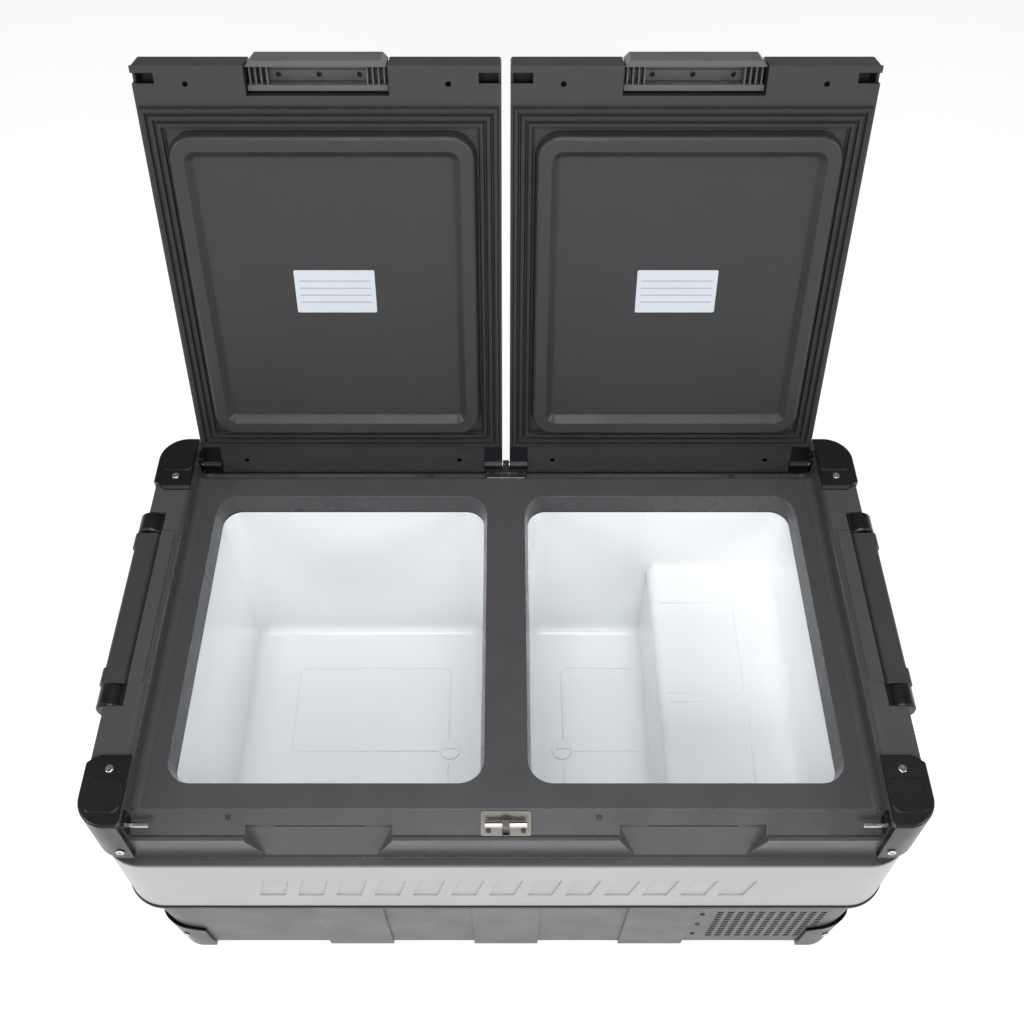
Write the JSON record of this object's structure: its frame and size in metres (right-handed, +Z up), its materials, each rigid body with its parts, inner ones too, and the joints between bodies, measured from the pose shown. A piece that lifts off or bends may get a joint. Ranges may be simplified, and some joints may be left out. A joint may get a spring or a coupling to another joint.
{
  "type": "compressor cooler fridge",
  "caption": "Dual-compartment portable compressor cooler fridge with two rear-hinged lids, latch paddles, swing carry handles and corner guards.",
  "frame": {"origin": "on the floor, at the middle of the foot screw pattern, under the middle of the cabinet", "axes": "+X along the length to the control end, +Y from the front to the hinge side, +Z up"},
  "size_m": [0.9004, 0.6696, 0.8979],
  "materials": {
    "housing_grey": "fine moulded texture",
    "band_grey": "satin",
    "trim_black": "satin",
    "frame_charcoal": "fine moulded texture",
    "guard_black": "moulded",
    "liner_white": "smooth",
    "lid_charcoal": "fine moulded texture",
    "foam_yellow": "rigid foam",
    "gasket_rubber": "matt",
    "rubber_black": "matt",
    "pressed_steel": "bright",
    "pin_steel": "polished",
    "latch_black": "satin",
    "handle_grey": "satin",
    "screw_steel": "blackened",
    "bezel_black": "gloss",
    "display_glass": "clear",
    "cooling_metal": "bare",
    "copper_tube": "bare copper",
    "compressor_black": "satin",
    "board_green": "lacquered",
    "tube_plastic": "smooth"
  },
  "bodies": {
    "cabinet": {"base_shell": "housing_grey", "vent_grille_front": "housing_grey", "vent_grille_end": "housing_grey", "lower_trim": "trim_black", "side_band": "band_grey", "control_bezel": "bezel_black", "display_window": "display_glass", "power_socket_dc": "trim_black", "ac_inlet": "trim_black", "top_frame": "frame_charcoal", "corner_guard_front_left": "guard_black", "foot_guard_front_left": "guard_black", "corner_guard_front_right": "guard_black", "foot_guard_front_right": "guard_black", "corner_guard_rear_left": "guard_black", "foot_guard_rear_left": "guard_black", "corner_guard_rear_right": "guard_black", "foot_guard_rear_right": "guard_black", "rubber_feet": "rubber_black", "corner_hinge_plates": "pressed_steel", "centre_hinge_brackets": "pressed_steel", "hinge_pins": "pin_steel", "handle_hubs": "latch_black", "liner_left": "liner_white", "liner_right": "liner_white", "liner_seals": "gasket_rubber", "drain_tubes": "tube_plastic", "cooling_plates": "cooling_metal", "foam_core": "foam_yellow", "compressor": "compressor_black", "compressor_mounts": "rubber_black", "condenser": "cooling_metal", "fan_frame": "trim_black", "control_board": "board_green", "refrigerant_lines": "copper_tube", "guard_screws": "screw_steel", "small_screws": "screw_steel"},
    "lid_left": {"lid_shell_left": "lid_charcoal", "lid_liner_left": "lid_charcoal", "lid_foam_left": "foam_yellow", "gasket_left": "gasket_rubber", "hinge_covers_left": "pressed_steel", "latch_pin_left": "pin_steel"},
    "latch_left": {"latch_paddle_left": "latch_black"},
    "carry_handle_left": {"handle_left": "handle_grey"},
    "plug_left": {"drain_plug_left": "liner_white"},
    "lid_right": {"lid_shell_right": "lid_charcoal", "lid_liner_right": "lid_charcoal", "lid_foam_right": "foam_yellow", "gasket_right": "gasket_rubber", "hinge_covers_right": "pressed_steel", "latch_pin_right": "pin_steel"},
    "latch_right": {"latch_paddle_right": "latch_black"},
    "carry_handle_right": {"handle_right": "handle_grey"},
    "plug_right": {"drain_plug_right": "liner_white"},
    "fan": {"fan_rotor": "trim_black"},
    "key_power": {"button_power": "rubber_black"},
    "key_set": {"button_set": "rubber_black"},
    "key_minus": {"button_minus": "rubber_black"},
    "key_plus": {"button_plus": "rubber_black"}
  },
  "joints": [
    {"name": "lid_hinge_left", "type": "hinge", "parent": "cabinet", "child": "lid_left", "pos_m": [-0.1978, 0.2463, 0.404], "axis": [1, 0, 0], "range_deg": [0, 104]},
    {"name": "latch_pivot_left", "type": "hinge", "parent": "lid_left", "child": "latch_left", "pos_m": [-0.1978, 0.39232, 0.88012], "axis": [-1, 0, 0], "range_deg": [0, 25], "stiffness_Nm_per_rad": 0.1, "springref_deg": -17.19},
    {"name": "handle_hinge_left", "type": "hinge", "parent": "cabinet", "child": "carry_handle_left", "pos_m": [-0.434, 0.012, 0.417], "axis": [0, 1, 0], "range_deg": [0, 95]},
    {"name": "drain_plug_turn_left", "type": "hinge", "parent": "cabinet", "child": "plug_left", "pos_m": [-0.076, -0.011, 0.105], "axis": [0, 0, 1], "range_deg": [0, 90]},
    {"name": "lid_hinge_right", "type": "hinge", "parent": "cabinet", "child": "lid_right", "pos_m": [0.1978, 0.2463, 0.404], "axis": [1, 0, 0], "range_deg": [0, 104]},
    {"name": "latch_pivot_right", "type": "hinge", "parent": "lid_right", "child": "latch_right", "pos_m": [0.1978, 0.39232, 0.88012], "axis": [-1, 0, 0], "range_deg": [0, 25], "stiffness_Nm_per_rad": 0.1, "springref_deg": -17.19},
    {"name": "handle_hinge_right", "type": "hinge", "parent": "cabinet", "child": "carry_handle_right", "pos_m": [0.434, 0.012, 0.417], "axis": [0, -1, 0], "range_deg": [0, 95]},
    {"name": "drain_plug_turn_right", "type": "hinge", "parent": "cabinet", "child": "plug_right", "pos_m": [0.076, -0.011, 0.105], "axis": [0, 0, 1], "range_deg": [0, 90]},
    {"name": "fan_spin", "type": "hinge", "parent": "cabinet", "child": "fan", "pos_m": [0.4, 0.02, 0.072], "axis": [1, 0, 0], "continuous": true},
    {"name": "key_power_press", "type": "slide", "parent": "cabinet", "child": "key_power", "axis": [-1, 0, 0], "range_m": [0, 0.0012], "stiffness_N_per_m": 400, "springref_m": -0.0005},
    {"name": "key_set_press", "type": "slide", "parent": "cabinet", "child": "key_set", "axis": [-1, 0, 0], "range_m": [0, 0.0012], "stiffness_N_per_m": 400, "springref_m": -0.0005},
    {"name": "key_minus_press", "type": "slide", "parent": "cabinet", "child": "key_minus", "axis": [-1, 0, 0], "range_m": [0, 0.0012], "stiffness_N_per_m": 400, "springref_m": -0.0005},
    {"name": "key_plus_press", "type": "slide", "parent": "cabinet", "child": "key_plus", "axis": [-1, 0, 0], "range_m": [0, 0.0012], "stiffness_N_per_m": 400, "springref_m": -0.0005}
  ]
}
